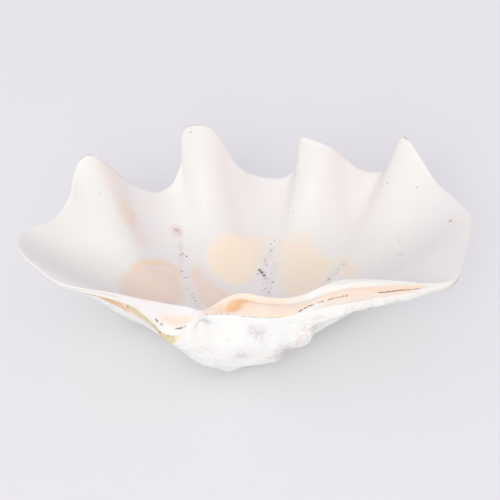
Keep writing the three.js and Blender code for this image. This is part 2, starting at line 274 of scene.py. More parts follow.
# A deep hollow and a knob at the plate's left end, as height in mm, x, spread, place, width
HINGE_BUMPS = ((-6, -19, 9, 0.45, 0.24), (1.4, -36, 6, 0.4, 0.25))

# Left of the tooth the plate is chalky outside the groove, from and to these x
CHALKY_STRETCH, CHALKY_PLATE = (-36, 48), 0.4

# Stretches of the hinge side, as x from and to, and the mm over which they fade
STRETCHES = {
    "hinge": (-30, 146, 8),
    "shoulder": (-42, -24, 4),
    "socket": (-34, 48, 4),
    "tooth": (52, 90, 8),
    "ledge": (50, 136, 14),
    "right_plate": (100, 150, 20),
    "right_groove": (100, 145, 4),
    "right_rim": (50, 190, 4),
    "lip": (-72, -46, 6),
    "left_rim": (-196, -104, 6),
    "film": (-126, -62, 10),
    "moss": (-104, -60, 8),
    "film_specks": (-126, -60, 6),
    "lamina": (-196, -112, 6),
}

# How far the dried film and its greenest part reach down from the outer side's edge, in mm,
# and where a thin brown lamina shows there, with its spread
FILM_REACH, MOSS_REACH, FILM_STARTS = 30, 24, 4
LAMINA = (3.0, 1.2)
CLOUDINESS = 0.35

# Colours on the band, as places where they start or end across it, from 0 at its inner edge to
# 1, or as a place and a width there. The amber starts nearer the edge right of its turn.
AMBER_STARTS, AMBER_TURN, AMBER_FADE, AMBER_PAST_GROOVE = (0.34, 0.28), (48, 60), 0.06, 0.03
LEDGE_COLOUR_ENDS, RIGHT_PLATE_STARTS = (0.74, 0.82), (0.02, 0.15)
LIP_STAIN_STARTS, LIP_STAIN_ENDS = (0.25, 0.5), (0.72, 0.86)
SHOULDER_STARTS, SHOULDER_ENDS = (0, 0.2), (0.68, 0.8)
SLOPE_ENDS, SLOPE_PALES, SLOPE_PALEST = (0.3, 0.4), (5, 40), 0.4
PALE_EDGE_STARTS, DARK_TIP_STARTS = (0.8, 0.86), (0.1, 0.3)
TOOTH_TOP, LIP_EDGE, LEFT_SEAM, TIP_WEAR = (0.14, 0.1), (0.97, 0.03), (0.7, 0.1), (0.4, 0.2)
REMAINS_WIDTH, GROOVE_STAIN_WIDTH = 0.03, 0.12

# Honey-coloured hollows, as strength, x, spread, place across and width there
HONEY_SPOTS = ((1, -14, 9, 0.42, 0.2), (0.5, -4, 14, 0.24, 0.12))

# Fine stripes on the amber and thin lines on the tooth, as radians across the band and per mm
# along it. They are coarser than the real ones.
STRIPES, HAIRLINES = (52, 0.08), (70, 0.12)

# The ligament's dark line along its groove, partly the ligament's dark remains and partly a
# painted shadow under the hinge plate's raised edge, as x from and to, place outside the groove's
# line, and strength, and bruised spots on the lip's edge, as x from and to
LIGAMENT_REMAINS_AND_SHADOW = (
    (-40, -24, 0.0, 1.0), (-24, 26, 0.0, 0.7), (26, 36, 0.0, 0.6), (36, 80, 0.0, 0.95),
    (104, 141, 0.02, 1.0),
)
LIP_BRUISES, BRUISE_STRENGTH = ((-76, -66), (-60, -50)), 0.8

# Worn brown lines on the tips of the first two tongues and a dark one on the fourth tongue's
# tip, as x from and to, and the y beyond which the tongues lie
TIP_LINES = ((-152, -138), (-62, -44))
DARK_TIP, DARK_TIP_STRENGTH = (137, 145), 0.75
TONGUES_BEYOND = 40

# How many mm the thin dark lines and the tips' brown lines fade over at their ends
LINE_FADE, TIP_FADE = 2, 3

# What a point carries far away from the side that has a mark, for the marks measured in mm
FAR_AWAY = 90.0
UNMARKED = {
    **dict.fromkeys(("stain", "pale_stain", "bed", "smudge", "rust", "film", "moss"), -FAR_AWAY),
    **dict.fromkeys(("shade", "furrow", "warm", "flank", "graze_specks", "film_edge"), FAR_AWAY),
}

# The stage, in metres: half the floor's side, the lamp's place and size, what it points at,
# and what the camera points at
FLOOR_HALF = 6
KEY_PLACE, KEY_SIZE, KEY_AIM = Vector((-0.9, -4.9, 2.95)), 3.0, Vector((0, 0, 0.064))
CAMERA_AIM = Vector((0.00305, 0.0022, 0.0645))


def lerp(low, high, share):
    return low + (high - low) * share


def smoothstep(low, high, value):
    t = np.clip((value - low) / (high - low), 0, 1)
    return t * t * (3 - 2 * t)


def fading(low, high, value):
    return 1 - smoothstep(low, high, value)


def bell(value, middle, spread):
    return np.exp(-(((value - middle) / spread) ** 2))


def along(values, place):
    return np.interp(place, np.linspace(0, 1, len(values)), values)


def unit(vectors):
    return vectors / np.linalg.norm(vectors, axis=-1, keepdims=True)


def softened(loop, fade):
    """A closed loop of values, softened by a bell curve that is fade samples wide."""
    turns = np.fft.fftfreq(len(loop))
    keep = np.exp(-2 * (np.pi * turns * fade) ** 2)
    return np.fft.ifft(np.fft.fft(loop, axis=0) * keep[:, None], axis=0).real


def rough(points, size):
    """Smooth noise from about -1 to 1 at each point, with lumps of the given size in mm. A
    number added to the points gives other lumps."""
    flat = points.reshape(-1, 3) / size
    values = [noise.fractal(Vector(p), 1.0, 2.0, 2) for p in flat]
    return np.array(values).reshape(points.shape[:-1])


def ring_normals(rings):
    """Unit normals of rings of points, on the bowl's inner side. The first ring is one point."""
    around = np.roll(rings, -1, 1) - np.roll(rings, 1, 1)
    normals = np.cross(around, np.gradient(rings, axis=0))
    normals[0] = normals[1].mean(0)
    return unit(normals)


def smooth_rim():
    """A smooth closed curve through the rim's landmarks, as even samples, and its length."""
    p = np.array(RIM, float)
    step = np.linalg.norm(np.roll(p[:, :3], -1, 0) - p[:, :3], axis=1) ** 0.5
    t = np.linspace(0, 1, CURVE_STEPS, endpoint=False)[:, None]
    fine = []
    for i in range(len(p)):
        a, b, c, d = p[i - 1], p[i], p[(i + 1) % len(p)], p[(i + 2) % len(p)]
        before, here, after = step[i - 1], step[i], step[(i + 1) % len(p)]
        leave = here * ((b - a) / before - (c - a) / (before + here) + (c - b) / here)
        arrive = here * ((c - b) / here - (d - b) / (here + after) + (d - c) / after)
        cubic, square = 2 * b - 2 * c + leave + arrive, 3 * c - 3 * b - 2 * leave - arrive
        fine.append(cubic * t**3 + square * t**2 + leave * t + b)
    fine = np.vstack(fine + [p[:1]])
    steps = np.linalg.norm(np.diff(fine[:, :3], axis=0), axis=1)
    run = np.concatenate([[0], np.cumsum(steps)])
    at = np.arange(RIM_SAMPLES) / RIM_SAMPLES * run[-1]
    return np.column_stack([np.interp(at, run, fine[:, k]) for k in range(5)]), run[-1]


def bowl_ring(rim, s):
    """The bowl's ring at s, from 0 at its deepest point to 1 at the rim, and the wall under it."""
    to = rim - BOWL_DEEPEST
    angle = np.arctan2(to[:, 1], to[:, 0])
    back = np.sin(angle)
    right = smoothstep(*RIGHT_BETWEEN, np.cos(angle))
    front = smoothstep(*FRONT_BETWEEN, -back)
    deep = smoothstep(lerp(*SAG_STARTS_SIDES, right), lerp(*SAG_ENDS_SIDES, right), back)
    ridge = bell(np.degrees(angle), FIRST_RIDGE_ANGLE, FIRST_RIDGE_SPREAD)
    deep = deep * (1 - FIRST_RIDGE_LIFT * ridge)
    forward = lerp(NEAR_TOWARDS_HINGE, NEAR_TOWARDS_TONGUES, smoothstep(*FORWARD_BETWEEN, back))
    right_reach = lerp(NEAR_RIGHT, NEAR_UNDER_HINGE, smoothstep(*UNDER_HINGE_BETWEEN, -back))
    right_flank = right * smoothstep(*RIGHT_FLANK_BETWEEN, -back)
    sideways = lerp(NEAR_SIDEWAYS, right_reach, right_flank)
    far = lerp(lerp(FAR_STRAIGHT, FAR_SAGGING, deep), FAR_FRONT, front)
    high = BOWL_DEEPEST[2] + to[:, 2] * lerp(*FAR_UP_SIDES, right)
    high = lerp(lerp(high, BOWL_FLOOR, deep), BOWL_DEEPEST[2] + to[:, 2] * FAR_UP_FRONT, front)
    reach = to[:, 1] * forward
    near = BOWL_DEEPEST + np.column_stack([to[:, 0] * sideways, reach, -reach * BOWL_TILT])
    beyond = np.column_stack([BOWL_DEEPEST[:2] + to[:, :2] * far[:, None], high])
    ring = (1 - s) ** 3 * BOWL_DEEPEST + 3 * s * (1 - s) ** 2 * near
    ring = ring + 3 * s * s * (1 - s) * beyond + s**3 * rim
    flank = smoothstep(*FLANK_WALL_BETWEEN, -back) * lerp(LEFT_FLANK_WALL, 1, right)
    wall = lerp(along(WALL_BACK, s), along(WALL_FLANK, s), flank)
    bulge = 1 + BEAK_BULGE * bell(np.cos(angle), BEAK_SIDE, BEAK_SIDE_SPREAD)
    under_hinge = smoothstep(lerp(*BEAK_STARTS_SIDES, right), lerp(*BEAK_ENDS_SIDES, right), -back)
    return ring, lerp(wall, along(WALL_BEAK, s) * bulge, under_hinge)


def ligament_line(x):
    """Where the ligament's groove runs across the hinge plate, from 0 at the crest to 1."""
    left, middle, right = GROOVE_PLACES
    first, second = GROOVE_TURNS
    return lerp(left, lerp(middle, right, smoothstep(*second, x)), smoothstep(*first, x))


def hinge_relief(x, w):
    """How far the hinge plate stands proud of a plain slope at place w across it, in mm."""
    line = ligament_line(x)
    groove = smoothstep(*GROOVE_STARTS, x) * fading(*GROOVE_ENDS, x)
    relief = -GROOVE_DEPTH * bell(w, line, GROOVE_WIDTH) * groove
    ledge = smoothstep(*LEDGE_STARTS, x) * fading(*LEDGE_ENDS, x)
    relief -= LEDGE_DEPTH * ledge * smoothstep(0, LEDGE_FALL, w - line) * fading(*LEDGE_RISE, w)
    for height, place, width, starts, ends in HINGE_FORMS:
        relief += height * bell(w, place, width) * smoothstep(*starts, x) * fading(*ends, x)
    for height, middle, spread, place, width in HINGE_BUMPS:
        relief += height * bell(x, middle, spread) * bell(w, place, width)
    return relief


def valve_rings(thickness, chip_depth):
    """The bowl's, band's and outer side's rings, and how much of each column is plate."""
    rim, length = smooth_rim()
    fold_fade, wall_fade, rim_fade = (
        fade * RIM_SAMPLES / length for fade in (FOLD_FADE, WALL_FADE, RIM_FADE)
    )
    crest, reach, drop = rim[:, :3], np.maximum(rim[:, 3], 0), np.maximum(rim[:, 4], 0)
    plate = reach / (reach + HALF_PLATE_REACH)
    share = plate[:, None]
    up = np.array([0, 0, 1.0])
    places = np.linspace(0, 1, BOWL_RINGS + 1)
    rims = [softened(crest, fold_fade * (1 - s) ** FOLD_FADE_CURVE) for s in places]
    bowl, walls = (np.array(part) for part in zip(*map(bowl_ring, rims, places)))
    normals = ring_normals(bowl)
    outer = bowl.copy()
    for j, s in enumerate(places):
        outer[j] += softened(-normals[j] * walls[j][:, None], wall_fade * (1 - s) + rim_fade)
    tangent = softened((np.roll(crest, -1, 0) - np.roll(crest, 1, 0))[:, :2], 2 * rim_fade)
    out = unit(np.column_stack([-tangent[:, 1], tangent[:, 0], np.zeros(RIM_SAMPLES)]))
    # chips: the plate's edge is ragged, the thin rim only a little uneven
    ragged = rough(crest, CHIP_SIZE) + FINE_CHIP_SHARE * rough(crest + 50, FINE_CHIP_SIZE)
    reach = reach + chip_depth * ragged * plate
    thickness = thickness * (1 + UNEVEN_SHARE * rough(crest + 90, UNEVEN_SIZE))
    top = crest + out * reach[:, None] - up * drop[:, None]
    lip = lerp(-normals[-1] * thickness[:, None], out - up * thickness[:, None], share)
    lip = softened(lip, rim_fade / 2)
    edge = top + lip
    lead = softened(unit(bowl[-1] - bowl[-2]), rim_fade)
    band = []
    for k in range(1, BAND_RINGS + 1):
        w = k / (BAND_RINGS + 1)
        thin = crest + lip * w + lead * RIM_ROUNDING * np.sin(np.pi * w)
        wide = lerp(crest, top, min(1, w / PLATE_TOP_ENDS))
        wide = wide + lip * max(0, w - PLATE_TOP_ENDS) / (1 - PLATE_TOP_ENDS)
        proud = hinge_relief(crest[:, 0], w) * plate**2
        band.append(lerp(thin, wide, share) + up * proud[:, None])
    gap = edge - outer[-1]
    for j, s in enumerate(places):
        outer[j] += gap * smoothstep(LEAD_STARTS, 1, s) ** LEAD_CURVE
        # the plate's backing is a hump over the upper half, 1 at its highest
        u = max(0, 2 * s - 1)
        outer[j, :, 2] -= PLATE_BACKING * 27 / 4 * u * u * (1 - u) * plate
    return bowl, np.array(band), outer, plate


def picked_columns(grid, at):
    """A grid's columns at places between its own columns."""
    low = np.floor(at).astype(int)
    part = (at - low).reshape((1, -1) + (1,) * (grid.ndim - 2))
    return grid[:, low] * (1 - part) + grid[:, (low + 1) % grid.shape[1]] * part


def weathered(outer, lump, growth_step):
    """The outer side with lumps and worn growth steps, still level where it stands, and each
    point's distance from its edge in mm."""
    normal = -ring_normals(outer)
    s = np.linspace(0, 1, len(outer))[:, None]
    steps = np.linalg.norm(np.diff(outer, axis=0), axis=2)
    run = np.cumsum(steps[::-1], axis=0)[::-1]
    from_edge = np.vstack([run, np.zeros((1, outer.shape[1]))])
    near_edge = smoothstep(0, PLAIN_MARGIN, from_edge)
    tread = (from_edge + WAVER * rough(outer, WAVER_LENGTH)) / GROWTH_SPACING % 1.0
    ledge = smoothstep(0, GROWTH_RISE, tread) * fading(GROWTH_RISE, 1, tread)
    lumps = rough(outer, LUMP_SIZE) + FINE_LUMP_SHARE * rough(outer + 40, FINE_LUMP_SIZE)
    raised = lump * lumps * near_edge * smoothstep(*LUMPS_START, s)
    x, y, _ = np.moveaxis(outer, 2, 0)
    on_beak = bell(x, BEAK_MIDDLE, BEAK_WIDTH) * smoothstep(*BEAK_BETWEEN, y)
    ledge *= near_edge * smoothstep(*STEPS_START, s) * (1 - BEAK_WEAR * on_beak)
    raised += growth_step * ledge
    for x, y, z, radius, height in BEAK_LUMPS:
        raised += height * bell(np.linalg.norm(outer - (x, y, z), axis=2), 0, radius)
    moved = outer + normal * raised[..., None]
    moved[..., 2] = np.maximum(moved[..., 2], 0)
    return moved, from_edge


def inside_outline(points, outline):
    """How far inside a closed x, y outline each point lies, in mm, and below 0 outside it.
    The outline is smoothed through its landmarks."""
    corners = np.repeat(np.array(outline, float), OUTLINE_STEPS, axis=0)
    corners = softened(corners, OUTLINE_FADE)
    inside = np.zeros(points.shape[:-1], bool)
    near = np.full(points.shape[:-1], np.inf)
    for a, b in zip(corners, np.roll(corners, -1, 0)):
        near = np.minimum(near, to_stretch(points, a, b))
        crosses = (a[1] > points[..., 1]) != (b[1] > points[..., 1])
        with np.errstate(divide="ignore", invalid="ignore"):
            at = a[0] + (points[..., 1] - a[1]) / (b[1] - a[1]) * (b[0] - a[0])
        inside ^= crosses & (points[..., 0] < at)
    return np.where(inside, near, -near)


def to_stretch(points, a, b):
    """The distance of each x, y point from the straight stretch a to b."""
    line = b - a
    t = np.clip(((points - a) @ line) / (line @ line), 0, 1)
    return np.linalg.norm(points - a - t[..., None] * line, axis=-1)


def to_line(points, line):
    """The distance of each x, y point from a line through several points."""
    corners = np.array(line, float)
    return np.min([to_stretch(points, a, b) for a, b in zip(corners[:-1], corners[1:])], axis=0)


def window(x, low, high, fade):
    """1 between low and high, fading out over a few mm at both ends."""
    return smoothstep(low - fade, low + fade, x) * fading(high - fade, high + fade, x)


def bowl_marks(plan):
    """What the bowl's points carry for the inner layer's colours, in mm or from 0 to 1."""
    scar = inside_outline(plan, MUSCLE_SCAR)
    away = plan - SCAR_MIDDLE
    upper_right = away @ UPPER_RIGHT / np.maximum(np.linalg.norm(away, axis=-1), 1)
    soft = lerp(*SCAR_MARGIN, smoothstep(*SCAR_TURN, upper_right))
    crackled = inside_outline(plan, CRACKLED_STAIN)
    x, y = np.moveaxis(plan - CRACKLE_PLACE, -1, 0)
    upper_left = smoothstep(*CRACKLE_FADE, y - CRACKLE_SLANT * x)
    graze = np.linalg.norm(plan - GRAZE, axis=-1)
    return {
        # distance from the folds where lilac shade is painted into the colour
        "shade": np.min([to_line(plan, f) for f in SHADED_FOLDS], axis=0),
        "scar": smoothstep(-soft, soft, scar),
        "halo": bell(scar, *SCAR_HALO) * fading(*HALO_TURN, upper_right),
        "stain": np.maximum(crackled, inside_outline(plan, MIDDLE_STAIN)),
        "pale_stain": np.max([inside_outline(plan, o) for o in PALE_STAINS], axis=0),
        "crackle": bell(crackled, *CRACKLE_RING) * upper_left,
        "craze": bell(crackled, *CRAZE_RING) * upper_left,
        "warm": to_line(plan, FIRST_FLANK),
        # distance from the ridges' right sides where shade is painted
        "flank": np.min([to_line(plan, f) for f in SHADED_RIGHT_FLANKS], axis=0),
        "blush": bell(np.linalg.norm(plan - BLUSH, axis=-1), 0, BLUSH_SPREAD),
        "bed": np.max([inside_outline(plan, o) for o in FURROW_BEDS], axis=0),
        "furrow": np.min([to_line(plan, f) for f in FURROWS], axis=0),
        "graze": bell(graze, 0, GRAZE_SPREAD),
        "graze_specks": graze,
    }


def band_marks(x, y, w, plate):
    """What the band's points carry, at x along the rim and w across it."""
    line = ligament_line(x)
    on = {name: window(x, *stretch) for name, stretch in STRETCHES.items()}
    upper = lerp(*AMBER_STARTS, smoothstep(*AMBER_TURN, x))
    amber = smoothstep(upper - AMBER_FADE, upper + AMBER_FADE, w) * on["hinge"] * plate
    amber = amber * fading(line - GROOVE_MARGIN, line + AMBER_PAST_GROOVE, w)
    ledge = smoothstep(line - GROOVE_MARGIN, line + GROOVE_MARGIN, w) * on["ledge"]
    ledge = ledge * fading(*LEDGE_COLOUR_ENDS, w)
    right_plate = smoothstep(*RIGHT_PLATE_STARTS, w) * fading(line - GROOVE_MARGIN, line, w)
    right_plate = right_plate * on["right_plate"]
    lip_stain = smoothstep(*LIP_STAIN_STARTS, w) * fading(*LIP_STAIN_ENDS, w) * on["lip"]
    shoulder = smoothstep(*SHOULDER_STARTS, w) * fading(*SHOULDER_ENDS, w) * on["shoulder"]
    tooth = on["tooth"] * bell(w, *TOOTH_TOP)
    dark_marks_and_shadow = np.zeros_like(x * w)
    # the ligament's line: dark remains and a painted shadow under the plate's edge
    for low, high, shift, strength in LIGAMENT_REMAINS_AND_SHADOW:
        dark = strength * window(x, low, high, LINE_FADE) * bell(w, line + shift, REMAINS_WIDTH)
        dark_marks_and_shadow = np.maximum(dark_marks_and_shadow, dark)
    for low, high in LIP_BRUISES:
        dark = BRUISE_STRENGTH * window(x, low, high, LINE_FADE) * bell(w, *LIP_EDGE)
        dark_marks_and_shadow = np.maximum(dark_marks_and_shadow, dark)
    honey = 0.4 * on["right_groove"] * bell(w, line, GROOVE_STAIN_WIDTH) + 0.4 * shoulder
    for strength, middle, spread, place, width in HONEY_SPOTS:
        honey += strength * bell(x, middle, spread) * bell(w, place, width)
    stripes, hairlines = (
        np.maximum(0, np.sin(across * w + slant * x)) for across, slant in (STRIPES, HAIRLINES)
    )
    paled = lerp(1, SLOPE_PALEST, smoothstep(*SLOPE_PALES, x))
    near_hinge = {
        "amber": amber + 0.6 * ledge + 0.35 * right_plate + 0.75 * lip_stain,
        "honey": honey,
        "slope": fading(*SLOPE_ENDS, w) * on["socket"] * paled,
        "bright": tooth + smoothstep(*PALE_EDGE_STARTS, w) * on["right_rim"],
        "stripe": amber * on["socket"] * stripes,
        "hairline": tooth * hairlines,
        "groove": dark_marks_and_shadow,
        "seam": on["left_rim"] * bell(w, *LEFT_SEAM),
    }
    marks = {name: value * (y < 0) for name, value in near_hinge.items()}
    tips = y > TONGUES_BEYOND
    worn = np.max([window(x, low, high, TIP_FADE) for low, high in TIP_LINES], axis=0)
    marks["worn"] = worn * tips * bell(w, *TIP_WEAR)
    dark = DARK_TIP_STRENGTH * window(x, *DARK_TIP, LINE_FADE) * tips
    marks["groove"] += dark * smoothstep(*DARK_TIP_STARTS, w)
    return marks


def outer_marks(outer, from_edge):
    """What the outer side's points carry for the chalky layer's colours."""
    x, y, _ = np.moveaxis(outer, 2, 0)
    near = {
        name: np.max([r - np.linalg.norm(outer - place, axis=2) for *place, r in spots], axis=0)
        for name, spots in (("smudge", SMUDGES), ("rust", RUST_CRACKS))
    }
    on = {name: window(x, *stretch) * (y < 0) for name, stretch in STRETCHES.items()}
    return {
        "cloud": np.full_like(x, CLOUDINESS),
        **near,
        "film": FILM_REACH * on["film"] - from_edge - FILM_STARTS,
        "moss": MOSS_REACH * on["moss"] - from_edge - FILM_STARTS,
        "film_edge": from_edge + FAR_AWAY * (1 - on["film_specks"]),
        "lamina": bell(from_edge, *LAMINA) * on["lamina"],
    }


def valve_skin(sizes):
    """The whole skin as rows of points from the bowl's deepest point to the underside, with
    what each point carries for the materials."""
    bowl, band, outer, plate = valve_rings(sizes.rim_thickness / MM, sizes.chip_depth / MM)
    crowded = softened(plate[:, None], CLOSENESS_FADE)[:, 0] / plate.max()
    closeness = np.cumsum(1 + HINGE_CLOSENESS * crowded)
    steps = np.arange(RIM_STEPS) / RIM_STEPS * closeness[-1]
    at = np.interp(steps, np.append(0, closeness), np.arange(RIM_SAMPLES + 1))
    bowl, band, outer, plate = (picked_columns(g, at) for g in (bowl, band, outer, plate[None]))
    outer, from_edge = weathered(outer, sizes.lump_height / MM, sizes.growth_step / MM)
    x, y = bowl[-1:, :, 0], bowl[-1:, :, 1]
    w = (np.arange(BAND_RINGS) + 1)[:, None] / (BAND_RINGS + 1)
    on_bowl = bowl_marks(bowl[..., :2])
    on_outer = outer_marks(outer, from_edge)
    on_band = band_marks(x, y, w, plate)
    fields = {}
    for name in (*on_bowl, *on_band, *on_outer):
        unmarked = np.full(outer.shape[:2], UNMARKED.get(name, 0.0))
        inner = on_bowl.get(name, unmarked)
        middle = on_band.get(name, np.repeat(inner[-1:], BAND_RINGS, axis=0))
        outside = on_outer.get(name, unmarked)
        fields[name] = np.vstack([inner, middle, outside[:0:-1], outside[1:2]])
    low, high = CHALKY_STRETCH
    chalky = (w > ligament_line(x) + GROOVE_MARGIN) & (x > low) & (x < high)
    chalky = chalky & (plate > CHALKY_PLATE)
    outside = np.ones(outer.shape[:2])
    fields["outside"] = np.vstack([np.zeros(bowl.shape[:2]), chalky, outside])
    underside = np.broadcast_to(outer[0].mean(0), (1, RIM_STEPS, 3))
    return np.vstack([bowl, band, outer[:0:-1], underside]), fields


def onto_frame(skin):
    """The skin in metres, moved and scaled onto the frame's own box for the valve."""
    low, high = (np.array(corner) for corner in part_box("valve"))
    own_low, own_high = skin.reshape(-1, 3).min(0), skin.reshape(-1, 3).max(0)
    scale = (high[0] - low[0]) / (own_high[0] - own_low[0])
    middle = (own_low + own_high) / 2
    placed = (skin - [middle[0], middle[1], own_low[2]]) * scale
    return placed + [(low[0] + high[0]) / 2, (low[1] + high[1]) / 2, low[2]]


def grown_mesh(name, skin, fields):
    """A closed mesh: one grid laid over the whole skin, then welded down its seam and poles."""
    bm = bmesh.new()
    rows, columns = len(skin), skin.shape[1]
    bmesh.ops.create_grid(bm, x_segments=columns, y_segments=rows - 1, size=1)
    layers = {key: bm.verts.layers.float.new(key) for key in fields}
    for v in bm.verts:
        i = round((v.co.x + 1) / 2 * columns) % columns
        j = round((v.co.y + 1) / 2 * (rows - 1))
        v.co = skin[j, i]
        for key, layer in layers.items():
            v[layer] = fields[key][j, i]
    outside = layers["outside"]
    for face in bm.faces:
        face.smooth = True
        face.material_index = int(all(v[outside] > 0.5 for v in face.verts))
    bmesh.ops.remove_doubles(bm, verts=bm.verts, dist=1e-6)
    bmesh.ops.recalc_face_normals(bm, faces=bm.faces)
    if not all(edge.is_manifold for edge in bm.edges):
        raise RuntimeError("The valve's skin isn't closed")
    mesh = bpy.data.meshes.new(name)
    bm.to_mesh(mesh)
    bm.free()
    return mesh


def linear(hex_colour):
    """An sRGB hex colour as linear red, green and blue."""
    parts = [int(hex_colour[i : i + 2], 16) / 255 for i in (1, 3, 5)]
    return tuple(p / 12.92 if p <= 0.04045 else ((p + 0.055) / 1.055) ** 2.4 for p in parts)


def opaque(hex_colour):
    return (*linear(hex_colour), 1)


def per_mm(size):
    """The scale of a noise texture whose lumps are the given size in mm."""
    return 1 / (size * MM)


def add(tree, kind, sockets=None, out=0, **settings):
    """Adds a node with its settings and links, and returns one of its outputs."""
    node = tree.nodes.new(kind)
    for name, value in settings.items():
        setattr(node, name, value)
    for key, value in (sockets or {}).items():
        if isinstance(value, bpy.types.NodeSocket):
            tree.links.new(value, node.inputs[key])
        else:
            node.inputs[key].default_value = value
    return node.outputs[out]


# The Mix node's own numbers for its colour sockets and its colour output
MIX_BASE, MIX_OVER, MIX_RESULT = 6, 7, 2

# Specks: their cells and crowds as multiples of their size, how soon a crowd thickens, the
# largest speck as a share of its cell, where they are thickest as a share of their reach, how
# sharp they are, and their strength
CELL, CROWD, CROWD_FADE, LARGEST_SPECK = 2, 5, 0.2, 0.45
THICKEST, SPECK_EDGE, SPECK_STRENGTH = 0.3, 0.12, 0.85

# Single spots: their full colour's share of the radius, and its strength
SPOT_CORE, SPOT_STRENGTH = 0.4, 0.8


def stacked(tree, base, layers):
    """Lays colours over a base colour, one after another. Each follows an attribute from where
    it starts to where it is full, and noise of a grain size in mm makes its edge wander."""
    place = add(tree, "ShaderNodeTexCoord", out="Object")
    for attribute, colour, strength, start, full, wander, grain in layers:
        value = add(tree, "ShaderNodeAttribute", out="Fac", attribute_name=attribute)
        uneven = add(
            tree, "ShaderNodeTexNoise", {"Vector": place, "Scale": per_mm(grain), "Detail": 4.0}
        )
        shift = add(tree, "ShaderNodeMath", {0: uneven, 1: 0.5}, operation="SUBTRACT")
        wandering = add(
            tree, "ShaderNodeMath", {0: shift, 1: 2 * wander, 2: value}, operation="MULTIPLY_ADD"
        )
        mask = add(
            tree, "ShaderNodeMapRange",
            {"Value": wandering, "From Min": start, "From Max": full, "To Max": strength},
            interpolation_type="SMOOTHSTEP",
        )
        colours = {0: mask, MIX_BASE: base, MIX_OVER: opaque(colour)}
        base = add(tree, "ShaderNodeMix", colours, out=MIX_RESULT, data_type="RGBA")
    return base


def specked(tree, base, colour, near, reach, size, crowding):
    """Scatters specks of a size in mm over a base colour, thickest where an attribute is 0 and
    none past its reach. The specks come in crowds, as dirt caught in a furrow does. Real grains
    are finer than these, and would be lost at this distance."""
    place = add(tree, "ShaderNodeTexCoord", out="Object")
    value = add(tree, "ShaderNodeAttribute", out="Fac", attribute_name=near)
    cells = add(
        tree, "ShaderNodeTexVoronoi", {"Vector": place, "Scale": per_mm(CELL * size)},
        out="Distance",
    )
    crowd = add(
        tree, "ShaderNodeTexNoise",
        {"Vector": place, "Scale": per_mm(CROWD * size), "Detail": 2.0},
    )
    crowd = add(
        tree, "ShaderNodeMapRange",
        {"Value": crowd, "From Min": crowding, "From Max": crowding + CROWD_FADE,
         "To Max": LARGEST_SPECK},
    )
    nearness = add(
        tree, "ShaderNodeMapRange",
        {"Value": value, "From Min": reach, "From Max": THICKEST * reach},
    )
    radius = add(tree, "ShaderNodeMath", {0: crowd, 1: nearness}, operation="MULTIPLY")
    depth = add(tree, "ShaderNodeMath", {0: radius, 1: cells}, operation="SUBTRACT")
    mask = add(
        tree, "ShaderNodeMapRange",
        {"Value": depth, "From Max": SPECK_EDGE, "To Max": SPECK_STRENGTH},
    )
    colours = {0: mask, MIX_BASE: base, MIX_OVER: opaque(colour)}
    return add(tree, "ShaderNodeMix", colours, out=MIX_RESULT, data_type="RGBA")


def spotted(tree, base, spots, axes):
    """Lays single spots over a base colour, each at x, y, z with a radius in mm. They run
    through the shell along the axis that axes leaves out."""
    place = add(tree, "ShaderNodeTexCoord", out="Object")
    flat = add(tree, "ShaderNodeVectorMath", {0: place, 1: axes}, operation="MULTIPLY")
    for spot, radius, colour in spots:
        middle = [c * MM for c in spot]
        away = add(
            tree, "ShaderNodeVectorMath", {0: flat, 1: middle}, out="Value", operation="DISTANCE"
        )
        mask = add(
            tree, "ShaderNodeMapRange",
            {"Value": away, "From Min": radius * MM, "From Max": SPOT_CORE * radius * MM,
             "To Max": SPOT_STRENGTH},
        )
        colours = {0: mask, MIX_BASE: base, MIX_OVER: opaque(colour)}
        base = add(tree, "ShaderNodeMix", colours, out=MIX_RESULT, data_type="RGBA")
    return base


def relief(tree, shader, layers):
    """Bumps the shader's surface with noise, each layer by its grain size and height in mm."""
    place = add(tree, "ShaderNodeTexCoord", out="Object")
    normal = None
    for grain, height, strength in layers:
        bumps = add(
            tree, "ShaderNodeTexNoise", {"Vector": place, "Scale": per_mm(grain), "Detail": 3.0}
        )
        sockets = {"Strength": strength, "Distance": height * MM, "Height": bumps}
        if normal:
            sockets["Normal"] = normal
        normal = add(tree, "ShaderNodeBump", sockets)
    tree.links.new(normal, shader.inputs["Normal"])


